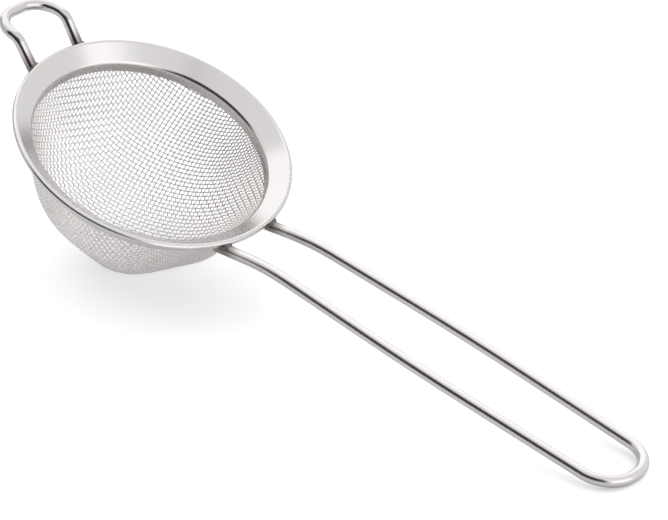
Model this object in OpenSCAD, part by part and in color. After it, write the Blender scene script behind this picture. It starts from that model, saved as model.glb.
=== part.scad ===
// Tea strainer: a woven wire bowl in a pressed rim, with a bent wire handle and a rest loop.
// It lies on the table on the bottom of its bowl and the tip of its handle.
// Units are millimetres. Z is up, the table is z = 0, and the handle points along +X.
// Every piece is drawn upright, in the rim's own frame: the origin is the centre of the rolled edge,
// Z is the axis of the bowl. lay() then tips the finished pieces onto the table together.

/* [Rim] */
// Radius of the rim over its rolled edge
rim_r = 40.9; // [30:0.1:60]
// Thickness of the sheet that the rim is pressed from
sheet_t = 0.5; // [0.3:0.05:1]
// Diameter of the rolled outer edge
bead_d = 1.8; // [1:0.1:2.5]
// Inner radius of the collar, which is the clear mouth of the bowl
mouth_r = 34.25; // [25:0.25:55]
// Depth of the fold between flange and collar below the centre of the rolled edge
fold_drop = 3; // [1:0.1:6]
// Depth of the collar's lower edge below the centre of the rolled edge
collar_drop = 5.7; // [3:0.1:12]
// Radius of the fold, on the sheet's upper side
fold_r = 1.2; // [0.6:0.1:2]

/* [Bowl] */
// Thickness of the woven cloth, which is two crossing wires
cloth_t = 0.8; // [0.3:0.05:1.2]
// Outer radius of the round part of the bowl
bowl_r = 32.9; // [20:0.1:50]
// Depth of the centre of that round part below the rolled edge
bowl_centre_drop = 5.9; // [0:0.1:20]
// Height of the upright hem of cloth outside the collar
hem_h = 1.5; // [1:0.1:3]

/* [Clamp ring] */
// Thickness of the hoop that holds the cloth's hem
clamp_t = 0.5; // [0.3:0.05:1]
// Height of the hoop
clamp_h = 1.5; // [1:0.1:3]

/* [Wires] */
// Diameter of the handle wire and of the loop wire
wire_d = 3.3; // [2:0.1:5]
// How far inside the rim's outer edge the wires end
wire_tuck = 4.2; // [2:0.1:6]

/* [Handle] */
// Length of the handle from the centre of the rim to the middle of the wire at its tip
handle_reach = 173.8; // [100:1:260]
// Half the distance between the legs where they pass under the rim
handle_half_rim = 9.2; // [5:0.1:16]
// Half the distance between the legs at the bend near the rim
handle_half_bend = 9.6; // [5:0.1:16]
// Half the distance between the legs at their widest, half way along
handle_half_mid = 11.2; // [5:0.1:20]
// Half the distance between the legs where the tip's curve begins
handle_half_tip = 10.1; // [5:0.1:20]
// Distance from the centre of the rim to the bend
handle_bend_x = 53.7; // [45:0.5:80]
// Slope of the short leg between the rim and the bend, in degrees above the rim's plane
stub_slope = 24.2; // [0:0.1:45]
// Slope of the long straight part, in degrees above the rim's plane
handle_slope = 12.9; // [0:0.1:30]
// Radius of the bend near the rim
handle_bend_r = 80; // [4:1:150]
// Radius of the gentle bow of each leg half way along
handle_bow_r = 900; // [200:10:3000]
// Radius of the two corners that make the tip
handle_tip_r = 9.6; // [4:0.1:16]

/* [Rest loop] */
// Half the distance between the loop's legs under the rim
loop_half_rim = 9.2; // [5:0.1:16]
// Half the distance between the loop's legs at its hook
loop_half_hook = 9.65; // [5:0.1:16]
// Slope of the loop's legs, in degrees above the rim's plane
loop_slope = 33.9; // [0:0.1:60]
// Slope of the hooked top, in degrees below the rim's plane
hook_slope = 9.8; // [-30:0.1:45]
// Distance from the centre of the rim to the loop's bend
loop_bend_x = 48.4; // [43:0.1:60]
// Length of the hooked top, from the bend to the middle of the wire
hook_len = 10; // [6:0.1:20]
// Radius of the loop's bend
loop_bend_r = 4.5; // [3:0.1:10]
// Radius of the two corners of the hooked top
hook_corner_r = 7.9; // [4:0.1:12]

/* [Welds] */
// Radius of the ball of weld metal round each wire end
weld_r = 1.9; // [2:0.1:4]
// Depth that the wires are pressed into the rolled edge where they are welded
weld_sink = 0.4; // [0:0.05:1]

/* [Hidden] */
$fn = 96;
bead_r = bead_d / 2;
wire_r = wire_d / 2;
bead_ring_r = rim_r - bead_r; // middle of the rolled edge
wire_drop = bead_r + wire_r - weld_sink; // from the rolled edge's middle to a wire's, square to the wire
joint_swell = 0.005; // how much larger than the wire the balls at its joints are

// The flange runs from the fold to the rolled edge, and its upper face meets that edge smoothly.
fold_x = mouth_r + sheet_t / 2; // the sheet's middle line turns down here
flange_lift = bead_r - sheet_t / 2; // of the sheet's middle line over the rolled edge's middle
fold_to_bead = [bead_ring_r - fold_x, fold_drop];
flange_slope = atan2(fold_to_bead[1], fold_to_bead[0]) + asin(flange_lift / norm(fold_to_bead));
fold_mid_r = fold_r + sheet_t / 2;
fold_turn = 90 - flange_slope;
fold_tangent = fold_mid_r * tan(fold_turn / 2);

// The cloth hangs outside the collar, then runs as a cone onto the round part of the bowl.
hem_in = mouth_r + sheet_t;
hem_out = hem_in + cloth_t;
hem_low = -collar_drop;
clamp_top = hem_low + hem_h;

arc_step = 4; // degrees between the points of a computed curve

// The tilt that brings the bowl and the handle's tip onto the table together.
tip_x = handle_reach;
rim_cross_x = sqrt(pow(bead_ring_r, 2) - pow(handle_half_rim, 2));
leg_cross_z = -wire_drop / cos(stub_slope);
bend_z = leg_cross_z + (handle_bend_x - rim_cross_x) * tan(stub_slope);
tip_z = bend_z + (tip_x - handle_bend_x) * tan(handle_slope);
tip_rise = tip_z + bowl_centre_drop;
lay_tilt = atan2(tip_rise, tip_x) + asin((bowl_r - wire_r) / norm([tip_x, tip_rise]));
lay_lift = bowl_r + bowl_centre_drop * cos(lay_tilt);

loop_cross_x = -sqrt(pow(bead_ring_r, 2) - pow(loop_half_rim, 2));
loop_cross_z = -wire_drop / cos(loop_slope);
loop_bend_z = loop_cross_z + (loop_bend_x + loop_cross_x) * tan(loop_slope);
hook_x = -(loop_bend_x + hook_len * cos(hook_slope));
hook_z = loop_bend_z - hook_len * sin(hook_slope);

// Half way between the handle's tip and the loop's, once laid down.
reach_far = tip_x * cos(lay_tilt) + tip_z * sin(lay_tilt) + wire_r;
reach_near = hook_x * cos(lay_tilt) + hook_z * sin(lay_tilt) - wire_r;
lay_shift = -(reach_far + reach_near) / 2;

steel = [0.80, 0.80, 0.81];
cloth = [0.72, 0.73, 0.75];
weld_grey = [0.45, 0.44, 0.45];

// Tips a finished piece from the rim's frame onto the table.
module lay() translate([lay_shift, 0, lay_lift]) rotate([0, lay_tilt, 0]) children();

// Points of an arc about c, in the plane of a profile.
function arc(c, r, a0, a1) =
    let (n = max(2, ceil(abs(a1 - a0) / arc_step)))
    [for (i = [0:n]) let (a = a0 + (a1 - a0) * i / n) [c[0] + r * cos(a), c[1] + r * sin(a)]];

function reversed(v) = [for (i = [len(v) - 1:-1:0]) v[i]];
function unit(v) = v / norm(v);

// ---- sheet and cloth, as profiles in the half-plane of radius and height ----

// The sheet's middle line, offset by o towards the upper and inner side.
function rim_line(o) =
    let (turn = [fold_x, -fold_drop],
         c = turn + fold_tangent * [0, -1] + fold_mid_r * [1, 0])
    concat([[fold_x - o, -collar_drop]],
           arc(c, fold_mid_r + o, 180, 90 + flange_slope),
           [[bead_ring_r, 0] + (flange_lift + o) * [-sin(flange_slope), cos(flange_slope)]]);

module sheet_profile() polygon(concat(rim_line(sheet_t / 2), reversed(rim_line(-sheet_t / 2))));

module rolled_edge() rotate_extrude() translate([bead_ring_r, 0]) circle(bead_r);

module pressed_sheet() {
    rotate_extrude() sheet_profile();
    rolled_edge();
}

// One face of the cloth, from the middle of the bottom to the top of the hem.
function cloth_line(r_hem, r_bowl) =
    let (c = [0, -bowl_centre_drop],
         top = [r_hem, hem_low],
         to_top = top - c,
         a = atan2(to_top[1], to_top[0]) - acos(r_bowl / norm(to_top)))
    concat(arc(c, r_bowl, -90, a), [top, [r_hem, hem_low + hem_h]]);

module cloth_profile() {
    polygon(concat(cloth_line(hem_out, bowl_r), reversed(cloth_line(hem_in, bowl_r - cloth_t))));
}

// ---- round wire along a path ----

// Turns local Z to d and local X to lie in the plane of d and s.
module aim(p, d, s) {
    z = unit(d);
    y = unit(cross(z, s));
    x = cross(y, z);
    multmatrix([[x[0], y[0], z[0], p[0]], [x[1], y[1], z[1], p[1]], [x[2], y[2], z[2], p[2]]])
        children();
}

// The turn at corner i, and the length of straight that its bend takes from each side.
function bend_angle(path, i) =
    let (u = unit(path[i][0] - path[i - 1][0]), v = unit(path[i + 1][0] - path[i][0]))
    acos(min(1, u * v));
function bend_tangent(path, i) =
    i == 0 || i == len(path) - 1 ? 0 : path[i][1] * tan(bend_angle(path, i) / 2);

// A round wire through the corners of path, each given as [point, bend radius].
// A ball a hair larger than the wire covers each joint of straight and bend, so that they fuse.
module wire(path) {
    last = len(path) - 1;
    for (i = [0:last - 1]) {
        p = path[i][0];
        d = unit(path[i + 1][0] - p);
        run = norm(path[i + 1][0] - p) - bend_tangent(path, i) - bend_tangent(path, i + 1);
        side = abs(d[2]) > 0.9 ? [1, 0, 0] : [0, 0, 1];
        aim(p + d * bend_tangent(path, i), d, side) cylinder(h = run, r = wire_r);
    }
    for (i = [1:last - 1]) {
        u = unit(path[i][0] - path[i - 1][0]);
        v = unit(path[i + 1][0] - path[i][0]);
        aim(path[i][0] - u * bend_tangent(path, i), u, v)
            translate([path[i][1], 0, 0]) rotate([-90, 180, 0])
                rotate_extrude(angle = bend_angle(path, i)) translate([path[i][1], 0]) circle(wire_r);
        for (q = [-u, v]) translate(path[i][0] + q * bend_tangent(path, i)) sphere(wire_r + joint_swell);
    }
}

function mirrored(path) = [for (q = path) [[q[0][0], -q[0][1], q[0][2]], q[1]]];
function both_sides(path) = concat(path, reversed(mirrored(path)));

inner_end_x = rim_r - wire_tuck;

function handle_half_path() =
    let (mid_x = (handle_bend_x + tip_x - handle_tip_r) / 2)
    [[[inner_end_x, handle_half_rim, leg_cross_z - (rim_cross_x - inner_end_x) * tan(stub_slope)], 0],
     [[handle_bend_x, handle_half_bend, bend_z], handle_bend_r],
     [[mid_x, handle_half_mid, bend_z + (mid_x - handle_bend_x) * tan(handle_slope)], handle_bow_r],
     [[tip_x, handle_half_tip, tip_z], handle_tip_r]];

function loop_half_path() =
    [[[-inner_end_x, loop_half_rim, loop_cross_z + (loop_cross_x + inner_end_x) * tan(loop_slope)], 0],
     [[-loop_bend_x, loop_half_hook, loop_bend_z], loop_bend_r],
     [[hook_x, loop_half_hook, hook_z], hook_corner_r]];

// A wire, dented where it is pressed against the rolled edge and the flange.
module dented_wire(path) difference() {
    wire(path);
    pressed_sheet();
}

// ---- weld metal ----

// Everything on the upper side of the rim's lower face, which no weld reaches.
module above_rim() {
    top = 3 * weld_r;
    rotate_extrude() polygon(concat(
        [[fold_x, top], [fold_x, -collar_drop]],
        rim_line(-sheet_t / 2),
        [[rim_r + top, 0], [rim_r + top, top]]));
    rolled_edge();
}

// Weld metal round the wire that runs from a to b, where it crosses under the rolled edge at p.
module weld(p, a, b) difference() {
    translate(p) sphere(weld_r);
    aim(a, b - a, [0, 0, 1]) cylinder(h = norm(b - a), r = wire_r);
    above_rim();
}

module handle_weld_in_place() {
    path = handle_half_path();
    weld([rim_cross_x + 0.3, handle_half_rim, -bead_r], path[0][0], path[1][0]);
}

module loop_weld_in_place() {
    path = loop_half_path();
    weld([loop_cross_x - 0.3, loop_half_rim, -bead_r], path[0][0], path[1][0]);
}

// ---- the pieces ----

module rim_band() color(steel) lay() pressed_sheet();

module mesh_basket() color(cloth) lay() rotate_extrude() cloth_profile();

module mesh_clamp_ring() color(steel) lay()
    rotate_extrude() translate([hem_out, clamp_top - clamp_h]) square([clamp_t, clamp_h]);

module handle_wire() color(steel) lay() dented_wire(both_sides(handle_half_path()));

module rest_loop() color(steel) lay() dented_wire(both_sides(loop_half_path()));

module handle_weld_left() color(weld_grey) lay() handle_weld_in_place();

module handle_weld_right() color(weld_grey) lay() mirror([0, 1, 0]) handle_weld_in_place();

module loop_weld_left() color(weld_grey) lay() loop_weld_in_place();

module loop_weld_right() color(weld_grey) lay() mirror([0, 1, 0]) loop_weld_in_place();

rim_band();
mesh_basket();
mesh_clamp_ring();
handle_wire();
rest_loop();
handle_weld_left();
handle_weld_right();
loop_weld_left();
loop_weld_right();
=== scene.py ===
import math

import bpy
import numpy as np
from mathutils import Matrix, Vector


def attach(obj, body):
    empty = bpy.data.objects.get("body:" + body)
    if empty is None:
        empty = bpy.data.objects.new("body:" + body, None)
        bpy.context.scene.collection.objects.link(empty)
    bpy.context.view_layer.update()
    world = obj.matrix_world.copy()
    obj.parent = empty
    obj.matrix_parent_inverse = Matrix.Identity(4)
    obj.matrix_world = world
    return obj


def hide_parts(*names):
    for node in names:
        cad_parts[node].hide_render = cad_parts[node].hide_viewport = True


# A tea strainer on a white table, in metres. The rim, the clamp ring, the wires and the welds are the CAD
# pieces with better materials. The bowl's plain CAD solid is replaced by real woven wire, draped on it.
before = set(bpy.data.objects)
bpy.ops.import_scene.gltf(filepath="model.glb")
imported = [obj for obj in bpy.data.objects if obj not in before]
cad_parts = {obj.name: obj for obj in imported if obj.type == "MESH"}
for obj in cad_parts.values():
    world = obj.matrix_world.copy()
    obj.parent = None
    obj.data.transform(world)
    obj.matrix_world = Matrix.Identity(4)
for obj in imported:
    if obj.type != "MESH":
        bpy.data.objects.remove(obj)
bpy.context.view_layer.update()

# ---- cloth ----
PITCH = 0.0013            # from wire to wire, both ways
CLOTH_WIRE_D = 0.0004
NET_REACH = 56            # wires each way from the middle of the cloth
CRIMP_STEPS = 4           # straight pieces from one crossing to the next
WIRE_SIDES = 8
SHORTEST_WIRE = 4         # crossings; a shorter scrap at the edge of the cloth is left out
CLOTH_TILT = (4.0, 14.7, 26.7)   # degrees about X, Y and Z: how the square cloth sat when it was pressed
# Small dents and bulges of the pressed bowl: azimuth, elevation and spread in degrees, height outwards
DENTS = (
    (-13, -46, 11, -0.0007),
    (11, -57, 10, 0.0009),
    (69, -57, 10, -0.0009),
    (94, -47, 9, 0.0007),
    (170, -35, 14, -0.0006),
    (-110, -40, 13, 0.0005),
)

# ---- laying the cloth ----
NEWTON_STEPS = 6
TOO_FLAT = 1e-10          # determinant below which a crossing has no place on the surface
PITCH_ERROR = 0.01        # of the pitch, the most that a crossing may be off
PAST_HEM = 2              # pitches laid above the top of the hem, to be cut off there
NO_DIVIDE = 1e-9          # the least length that is divided by

# ---- measuring the CAD bowl ----
AXIS_R = 0.0005           # a vertex nearer to the axis than this is on it
HEM_SKIN = 0.0001         # a vertex this near to the largest radius is on the hem's outer face
BAND_HALF = 0.002         # half height of the band where the outer face is looked for, half way up

# ---- steel ----
WELD_SHADE_COLOUR = (0.2, 0.17, 0.165)   # colour of the painted shade on a wire next to a weld, where it meets the rim
WELD_SHADE_CORE = 0.0015        # painted shade at full strength this far from the middle of a weld
WELD_SHADE_REACH = 0.007        # no painted shade from here on
GRAINS_PER_CLOUD = 4      # how much coarser than the grain the roughness wanders
CLOUD_DETAIL = 3

# ---- table and studio ----
FLOOR_HALF = 6.0
FLOOR_GREY = 0.9
FLOOR_ROUGHNESS = 0.9
FLOOR_SPECULAR = 0.1
FLOOR_GLOW = 0.28         # a little light from the table top itself, left out of what the steel mirrors
ROOM = 1.2                # brightness of the studio all round
# azimuth and elevation of the middle, half width, half height, soft edge, all in degrees; brightness
STUDIO_PATCHES = (
    (-125, 45, 42, 31, 10, 1.7),      # a window behind the bowl
    (-75, 12, 30, 22, 10, 0.75),      # a grey wall on the left
    (92, 4, 28, 34, 8, 1.8),          # a white screen on the right
    (5, 15, 48, 38, 14, 0.06),        # the dark side, where the photographer stands
)

# ---- camera, as the object is seen ----
VIEW_AZIMUTH = 40.693
VIEW_ELEVATION = 29.524
VIEW_ROLL = 0.913
VIEW_DISTANCE = 1.1805
AIM = Vector((0.00048, 0.00856, 0.020))
LENS = 229.94             # millimetres, as is the sensor
SENSOR = 36
CLIP_NEAR = 0.05
CLIP_FAR = 20


def vertices(name):
    """The vertices of a CAD node, as an array."""
    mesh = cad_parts[name].data
    co = np.empty(len(mesh.vertices) * 3)
    mesh.vertices.foreach_get("co", co)
    return co.reshape(-1, 3)


def direction(azimuth, elevation):
    """The unit vector from the object towards a place round it. Azimuth 0 is along -Y, and 90 along +X."""
    a, e = math.radians(azimuth), math.radians(elevation)
    return Vector((math.sin(a) * math.cos(e), -math.cos(a) * math.cos(e), math.sin(e)))


# ---------------------------------------------------------------- the bowl's own frame

def bowl_frame():
    """The middle of the clamp ring, and the rows X (to the handle), Y and Z (the bowl's axis)."""
    ring = vertices("mesh_clamp_ring")
    middle = (ring.min(0) + ring.max(0)) / 2
    axes = np.linalg.eigh(np.cov((ring - middle).T))[1]
    up = axes[:, 0] * np.sign(axes[2, 0])
    side = np.array([0.0, 1.0, 0.0])
    return middle, np.array([np.cross(side, up), side, up])


BOWL_AT, BOWL_ROWS = bowl_frame()


def to_bowl(points):
    """Points of the shared frame, in the bowl's own frame."""
    return (points - BOWL_AT) @ BOWL_ROWS.T


def from_bowl(points):
    """Points of the bowl's own frame, in the shared frame."""
    return points @ BOWL_ROWS + BOWL_AT


class Cloth:
    """The middle surface of the cloth, measured on the CAD bowl: a sphere, a cone that leaves it, a hem."""

    def __init__(self):
        p = to_bowl(vertices("mesh_basket"))
        r = np.hypot(p[:, 0], p[:, 1])
        on_axis = p[r < AXIS_R][:, 2]
        low = on_axis.min()
        thickness = on_axis.max() - low
        hem = p[r > r.max() - HEM_SKIN]
        self.hem_r = r.max() - thickness / 2
        self.hem_low = hem[:, 2].min()
        self.hem_top = hem[:, 2].max()
        # Two points of the outer face give the sphere: its lowest one, and the widest one half way up.
        off_half = np.abs(p[:, 2] - low * 0.5)
        near = off_half < BAND_HALF
        outer = p[near][np.argmax(r[near] - off_half[near])]
        outer_r = math.hypot(outer[0], outer[1])
        rise = outer[2] - low
        radius = (outer_r ** 2 + rise ** 2) / (2 * rise)
        self.centre = np.array([0, 0, low + radius])
        self.radius = radius - thickness / 2
        # The cone is the tangent from the hem's lower edge: it touches the sphere at this elevation.
        to_hem = np.array([self.hem_r, self.hem_low - self.centre[2]])
        self.turn = math.atan2(to_hem[1], to_hem[0]) - math.acos(self.radius / np.hypot(*to_hem))

    def distance(self, p):
        """How far p is outside the surface, and the direction straight out of it."""
        r = np.maximum(np.hypot(p[..., 0], p[..., 1]), NO_DIVIDE)
        z = p[..., 2] - self.centre[2]
        length = np.maximum(np.hypot(r, z), NO_DIVIDE)
        out_r = r / length
        out_z = z / length
        far = length - self.radius
        on_cone = np.arctan2(z, r) > self.turn
        out_r = np.where(on_cone, math.cos(self.turn), out_r)
        out_z = np.where(on_cone, math.sin(self.turn), out_z)
        far = np.where(on_cone, r * out_r + z * out_z - self.radius, far)
        past_hem = r - self.hem_r
        on_hem = past_hem > far
        out_r = np.where(on_hem, 1, out_r)
        out_z = np.where(on_hem, 0, out_z)
        far = np.where(on_hem, past_hem, far)
        return far, np.stack([p[..., 0] / r * out_r, p[..., 1] / r * out_r, out_z], -1)


CLOTH = Cloth()


def dent_height(points):
    """How far the dents and bulges move these points of the cloth outwards."""
    away = points - CLOTH.centre
    away /= np.linalg.norm(away, axis=1)[:, None]
    height = np.zeros(len(points))
    for azimuth, elevation, spread, peak in DENTS:
        to_dent = BOWL_ROWS @ np.array(direction(azimuth, elevation))
        angle = np.degrees(np.arccos(np.clip(away @ to_dent, -1, 1)))
        height += peak * np.exp(-(angle / spread) ** 2 / 2)
    return height


# ---------------------------------------------------------------- woven cloth

def turned(x, y, z):
    """The rotation about X, then Y, then Z of the bowl, in degrees, as rows."""
    m = Matrix.Rotation(math.radians(x), 3, "X") @ Matrix.Rotation(math.radians(y), 3, "Y")
    return np.array(m @ Matrix.Rotation(math.radians(z), 3, "Z"))


def settle(guess, a, b=None, normal=None):
    """The point of the surface one pitch from a, and one pitch from b or in the plane of that normal."""
    x = guess.copy()
    for _ in range(NEWTON_STEPS):
        far, out = CLOTH.distance(x)
        to_a = x - a
        rows = [out, to_a]
        miss = [far, ((to_a ** 2).sum(-1) - PITCH ** 2) / 2]
        if b is None:
            rows.append(np.broadcast_to(normal, x.shape))
            miss.append(((x - CLOTH.centre) * normal).sum(-1))
        else:
            to_b = x - b
            rows.append(to_b)
            miss.append(((to_b ** 2).sum(-1) - PITCH ** 2) / 2)
        lhs = np.stack(rows, -2)
        bad = np.abs(np.linalg.det(lhs)) < TOO_FLAT
        lhs[bad] = np.eye(3)
        step = np.linalg.solve(lhs, np.stack(miss, -1)[..., None])[..., 0]
        step[bad] = np.nan
        x = x - step
    return x


def lay_middle_wires(net, rows):
    """Lays the cloth's two middle wires straight up the bowl, from the place where they cross."""
    n = NET_REACH
    middle = CLOTH.centre - CLOTH.radius * rows[:, 2]
    net[n, n] = middle
    for axis in (0, 1):
        along, across = rows[:, axis], rows[:, 1 - axis]
        for sign in (1, -1):
            at, ahead = middle, along * sign * PITCH
            for k in range(1, n + 1):
                new = settle((at + ahead)[None], at[None], normal=across)[0]
                ahead, at = new - at, new
                spot = (n + sign * k, n) if axis == 0 else (n, n + sign * k)
                net[spot] = at


def lay_quarter(net, side_i, side_j):
    """Fills the quarter of the cloth on these sides of its middle wires, one diagonal after another."""
    n = NET_REACH
    for total in range(2, 2 * n + 1):
        i = np.arange(max(1, total - n), min(n, total - 1) + 1)
        j = total - i
        a = net[n + side_i * (i - 1), n + side_j * j]
        b = net[n + side_i * i, n + side_j * (j - 1)]
        corner = net[n + side_i * (i - 1), n + side_j * (j - 1)]
        good = ~np.isnan(a + b + corner).any(-1)
        if not good.any():
            continue
        new = settle((a + b - corner)[good], a[good], b[good])
        ok = np.abs(np.linalg.norm(new - a[good], axis=-1) - PITCH) < PITCH * PITCH_ERROR
        ok &= new[:, 2] < CLOTH.hem_top + PAST_HEM * PITCH
        new[~ok] = np.nan
        net[n + side_i * i[good], n + side_j * j[good]] = new


def drape():
    """Crossings of the square cloth laid on the bowl without stretching its wires.

    Wires keep their pitch and only turn where they cross, so a crossing is one pitch from the two
    before it. A crossing that isn't on the bowl is nan."""
    net = np.full((2 * NET_REACH + 1, 2 * NET_REACH + 1, 3), np.nan)
    lay_middle_wires(net, turned(*CLOTH_TILT))
    for side_i in (1, -1):
        for side_j in (1, -1):
            lay_quarter(net, side_i, side_j)
    return net


def tube(path, out, radius):
    """Ring by ring, the skin of a round wire along path, and its faces."""
    along = np.gradient(path, axis=0)
    along /= np.linalg.norm(along, axis=1)[:, None]
    side = np.cross(along, out)
    side /= np.linalg.norm(side, axis=1)[:, None]
    up = np.cross(side, along)
    turns = np.arange(WIRE_SIDES) * 2 * math.pi / WIRE_SIDES
    spokes = np.cos(turns)[None, :, None] * up[:, None] + np.sin(turns)[None, :, None] * side[:, None]
    rings = path[:, None] + radius * spokes
    ring = np.arange(len(path) - 1)[:, None] * WIRE_SIDES
    a = np.arange(WIRE_SIDES)
    b = (a + 1) % WIRE_SIDES
    quads = np.stack([ring + a, ring + WIRE_SIDES + a, ring + WIRE_SIDES + b, ring + b], -1)
    faces = quads.reshape(-1, 4).tolist()
    last = (len(path) - 1) * WIRE_SIDES
    faces.append(list(range(WIRE_SIDES)))
    faces.append(list(range(last + WIRE_SIDES - 1, last - 1, -1)))
    return rings.reshape(-1, 3), faces


def runs(points):
    """The stretches of a wire that lie on the bowl, below the top of the hem."""
    inside = ~np.isnan(points).any(-1)
    inside[inside] = points[inside][:, 2] < CLOTH.hem_top
    edges = np.flatnonzero(np.diff(np.concatenate([[0], inside.astype(int), [0]])))
    return [(a, b) for a, b in zip(edges[::2], edges[1::2]) if b - a >= SHORTEST_WIRE]


def crimped(points, parity):
    """A wire through its crossings, passing over and under in turn, with its outward directions."""
    steps = np.arange((len(points) - 1) * CRIMP_STEPS + 1) / CRIMP_STEPS
    knots = np.arange(len(points))
    smooth = np.stack([np.interp(steps, knots, points[:, k]) for k in range(3)], -1)
    far, out = CLOTH.distance(smooth)
    smooth += (dent_height(smooth) - far)[:, None] * out
    wave = np.cos(math.pi * (steps + parity)) * CLOTH_WIRE_D / 2
    return smooth + out * wave[:, None], out


def woven_wires(name, net, phase, material):
    """One mesh of every second wire that runs along the net's second index."""
    verts, faces = [], []
    count = 0
    for k in range(phase, len(net), 2):
        for a, b in runs(net[k]):
            path, out = crimped(net[k, a:b], k + a)
            skin, skin_faces = tube(from_bowl(path), out @ BOWL_ROWS, CLOTH_WIRE_D / 2)
            verts.append(skin)
            faces += [[v + count for v in f] for f in skin_faces]
            count += len(skin)
    mesh = bpy.data.meshes.new(name)
    mesh.from_pydata(np.concatenate(verts).tolist(), [], faces)
    mesh.polygons.foreach_set("use_smooth", [True] * len(mesh.polygons))
    mesh.materials.append(material)
    piece = bpy.data.objects.new(name, mesh)
    bpy.context.scene.collection.objects.link(piece)
    return piece


# ---------------------------------------------------------------- materials

def steel(name, colour, roughness, grain=0.0002, depth=0.0, spread=0.05):
    """Bare stainless steel whose roughness wanders by spread, with a grain that stands up by depth."""
    material = bpy.data.materials.new(name)
    material.use_nodes = True
    nodes, links = material.node_tree.nodes, material.node_tree.links
    shader = nodes["Principled BSDF"]
    shader.inputs["Base Color"].default_value = (*colour, 1)
    shader.inputs["Metallic"].default_value = 1
    place = nodes.new("ShaderNodeTexCoord")
    cloud = nodes.new("ShaderNodeTexNoise")
    cloud.inputs["Scale"].default_value = 1 / (GRAINS_PER_CLOUD * grain)
    cloud.inputs["Detail"].default_value = CLOUD_DETAIL
    links.new(place.outputs["Object"], cloud.inputs["Vector"])
    level = nodes.new("ShaderNodeMapRange")
    level.inputs["To Min"].default_value = roughness - spread
    level.inputs["To Max"].default_value = roughness + spread
    links.new(cloud.outputs["Fac"], level.inputs["Value"])
    links.new(level.outputs["Result"], shader.inputs["Roughness"])
    if depth:
        fine = nodes.new("ShaderNodeTexNoise")
        fine.inputs["Scale"].default_value = 1 / grain
        links.new(place.outputs["Object"], fine.inputs["Vector"])
        bump = nodes.new("ShaderNodeBump")
        bump.inputs["Distance"].default_value = depth
        links.new(fine.outputs["Fac"], bump.inputs["Height"])
        links.new(bump.outputs["Normal"], shader.inputs["Normal"])
    return material


def paint_weld_shade(material, spots):
    """Paints shade on a steel round the welded spots, where the wires meet the rim."""
    nodes, links = material.node_tree.nodes, material.node_tree.links
    shader = nodes["Principled BSDF"]
    place = nodes.new("ShaderNodeTexCoord")
    nearest = None
    for spot in spots:
        away = nodes.new("ShaderNodeVectorMath")
        away.operation = "DISTANCE"
        away.inputs[1].default_value = spot
        links.new(place.outputs["Object"], away.inputs[0])
        if nearest is None:
            nearest = away.outputs["Value"]
            continue
        nearer = nodes.new("ShaderNodeMath")
        nearer.operation = "MINIMUM"
        links.new(nearest, nearer.inputs[0])
        links.new(away.outputs["Value"], nearer.inputs[1])
        nearest = nearer.outputs["Value"]
    fade = nodes.new("ShaderNodeMapRange")
    fade.interpolation_type = "SMOOTHSTEP"
    fade.inputs["From Min"].default_value = WELD_SHADE_CORE
    fade.inputs["From Max"].default_value = WELD_SHADE_REACH
    links.new(nearest, fade.inputs["Value"])
    # mixes in the painted shade colour near the welds
    mix = nodes.new("ShaderNodeMix")
    mix.data_type = "RGBA"
    mix.inputs["A"].default_value = (*WELD_SHADE_COLOUR, 1)
    mix.inputs["B"].default_value = shader.inputs["Base Color"].default_value
    links.new(fade.outputs["Result"], mix.inputs["Factor"])
    links.new(mix.outputs["Result"], shader.inputs["Base Color"])


def paint(node, material):
    """Gives a CAD node this material in place of its own."""
    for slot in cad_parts[node].material_slots:
        slot.material = material


RIM_STEEL = steel("rim_steel", (0.555, 0.54, 0.535), roughness=0.18, depth=0.000004)
HANDLE_STEEL = steel("handle_steel", (0.58, 0.56, 0.555), roughness=0.21)
LOOP_STEEL = steel("loop_steel", (0.53, 0.515, 0.51), roughness=0.09, spread=0.04)
WELD_METAL = steel("weld_metal", (0.14, 0.125, 0.12), roughness=0.4, grain=0.0004, depth=0.00003)
CLOTH_STEEL = steel("cloth_steel", (0.74, 0.72, 0.715), roughness=0.1, grain=0.0005, spread=0.03)

WELDS = ("handle_weld_left", "handle_weld_right", "loop_weld_left", "loop_weld_right")
WELD_MIDDLES = [tuple(vertices(weld).mean(0)) for weld in WELDS]
# painted shade on the handle and the loop round the welds, where they meet the rim
paint_weld_shade(HANDLE_STEEL, WELD_MIDDLES)
paint_weld_shade(LOOP_STEEL, WELD_MIDDLES)

paint("rim_band", RIM_STEEL)
paint("mesh_clamp_ring", RIM_STEEL)
paint("handle_wire", HANDLE_STEEL)
paint("rest_loop", LOOP_STEEL)
for weld in WELDS:
    paint(weld, WELD_METAL)

# ---------------------------------------------------------------- pieces

warp = drape()
weft = warp.transpose(1, 0, 2)
cloth_pieces = []
for phase, word in ((0, "even"), (1, "odd")):
    cloth_pieces.append(woven_wires("cloth_warp_" + word, warp, phase, CLOTH_STEEL))
    cloth_pieces.append(woven_wires("cloth_weft_" + word, weft, phase, CLOTH_STEEL))
for piece in cloth_pieces:
    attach(piece, "root")
    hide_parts("mesh_basket")

# ---------------------------------------------------------------- stage

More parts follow.
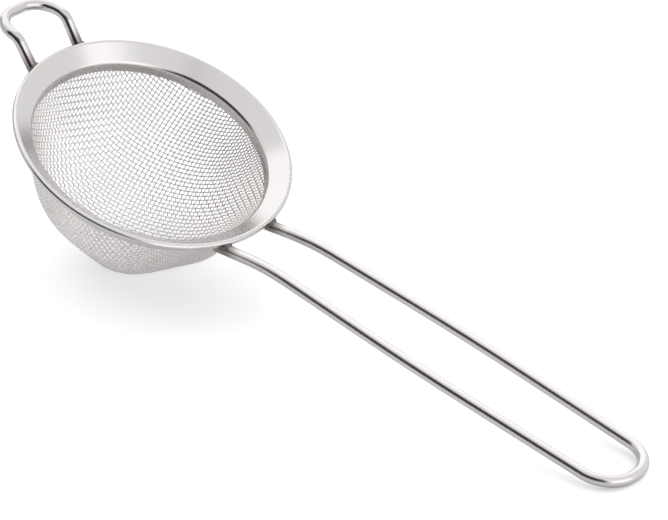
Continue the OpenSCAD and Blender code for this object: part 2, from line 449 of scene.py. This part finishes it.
def floor():
    """A white table top, which glows a little except where the steel mirrors it."""
    mesh = bpy.data.meshes.new("floor")
    h = FLOOR_HALF
    mesh.from_pydata([(-h, -h, 0), (h, -h, 0), (h, h, 0), (-h, h, 0)], [], [(0, 1, 2, 3)])
    material = bpy.data.materials.new("floor_white")
    material.use_nodes = True
    nodes, links = material.node_tree.nodes, material.node_tree.links
    shader = nodes["Principled BSDF"]
    shader.inputs["Base Color"].default_value = (FLOOR_GREY, FLOOR_GREY, FLOOR_GREY, 1)
    shader.inputs["Roughness"].default_value = FLOOR_ROUGHNESS
    shader.inputs["Specular IOR Level"].default_value = FLOOR_SPECULAR
    shader.inputs["Emission Color"].default_value = (1, 1, 1, 1)
    path = nodes.new("ShaderNodeLightPath")
    glow = nodes.new("ShaderNodeMapRange")
    glow.inputs["To Min"].default_value = FLOOR_GLOW
    glow.inputs["To Max"].default_value = 0
    links.new(path.outputs["Is Glossy Ray"], glow.inputs["Value"])
    links.new(glow.outputs["Result"], shader.inputs["Emission Strength"])
    mesh.materials.append(material)
    obj = bpy.data.objects.new("floor", mesh)
    bpy.context.scene.collection.objects.link(obj)


def studio():
    """An even bright room with its patches, seen as white where no object is."""
    world = bpy.data.worlds.new("studio")
    world.use_nodes = True
    nodes, links = world.node_tree.nodes, world.node_tree.links

    def math_node(operation, *inputs):
        """The output of a Math node whose inputs are sockets or plain numbers."""
        node = nodes.new("ShaderNodeMath")
        node.operation = operation
        for socket, value in zip(node.inputs, inputs):
            if isinstance(value, bpy.types.NodeSocket):
                links.new(value, socket)
            else:
                socket.default_value = value
        return node.outputs["Value"]

    def within(angle, half, soft):
        """1 where the angle is nearer to 0 than half, 0 beyond it, with a soft edge between."""
        edge = nodes.new("ShaderNodeMapRange")
        edge.interpolation_type = "SMOOTHSTEP"
        edge.inputs["From Min"].default_value = math.radians(half + soft / 2)
        edge.inputs["From Max"].default_value = math.radians(half - soft / 2)
        links.new(math_node("ABSOLUTE", angle), edge.inputs["Value"])
        return edge.outputs["Result"]

    place = nodes.new("ShaderNodeTexCoord")
    split = nodes.new("ShaderNodeSeparateXYZ")
    links.new(place.outputs["Generated"], split.inputs["Vector"])
    azimuth = math_node("ARCTAN2", split.outputs["X"], math_node("MULTIPLY", split.outputs["Y"], -1.0))
    elevation = math_node("ARCSINE", split.outputs["Z"])
    level = ROOM
    for patch_az, patch_el, half_width, half_height, soft, brightness in STUDIO_PATCHES:
        aside = math_node("WRAP", math_node("SUBTRACT", azimuth, math.radians(patch_az)), math.pi, -math.pi)
        above = math_node("SUBTRACT", elevation, math.radians(patch_el))
        inside = math_node("MULTIPLY", within(aside, half_width, soft), within(above, half_height, soft))
        change = math_node("MULTIPLY", inside, math_node("SUBTRACT", brightness, level))
        level = math_node("ADD", level, change)
    room = nodes["Background"]
    links.new(level, room.inputs["Color"])
    white = nodes.new("ShaderNodeBackground")
    white.inputs["Color"].default_value = (1, 1, 1, 1)
    path = nodes.new("ShaderNodeLightPath")
    mix = nodes.new("ShaderNodeMixShader")
    links.new(path.outputs["Is Camera Ray"], mix.inputs["Fac"])
    links.new(room.outputs["Background"], mix.inputs[1])
    links.new(white.outputs["Background"], mix.inputs[2])
    links.new(mix.outputs["Shader"], nodes["World Output"].inputs["Surface"])
    bpy.context.scene.world = world
    bpy.context.scene.view_settings.view_transform = "Standard"


def camera():
    """The camera, which looks at AIM from VIEW_DISTANCE away and is rolled a little."""
    back = direction(VIEW_AZIMUTH, VIEW_ELEVATION)
    data = bpy.data.cameras.new("camera")
    data.sensor_width = SENSOR
    data.lens = LENS
    data.clip_start = CLIP_NEAR
    data.clip_end = CLIP_FAR
    obj = bpy.data.objects.new("camera", data)
    obj.location = AIM + back * VIEW_DISTANCE
    obj.rotation_mode = "QUATERNION"
    level = back.to_track_quat("Z", "Y")
    obj.rotation_quaternion = level @ Matrix.Rotation(math.radians(VIEW_ROLL), 4, "Z").to_quaternion()
    bpy.context.scene.collection.objects.link(obj)
    bpy.context.scene.camera = obj


floor()
studio()
camera()

bpy.context.view_layer.update()
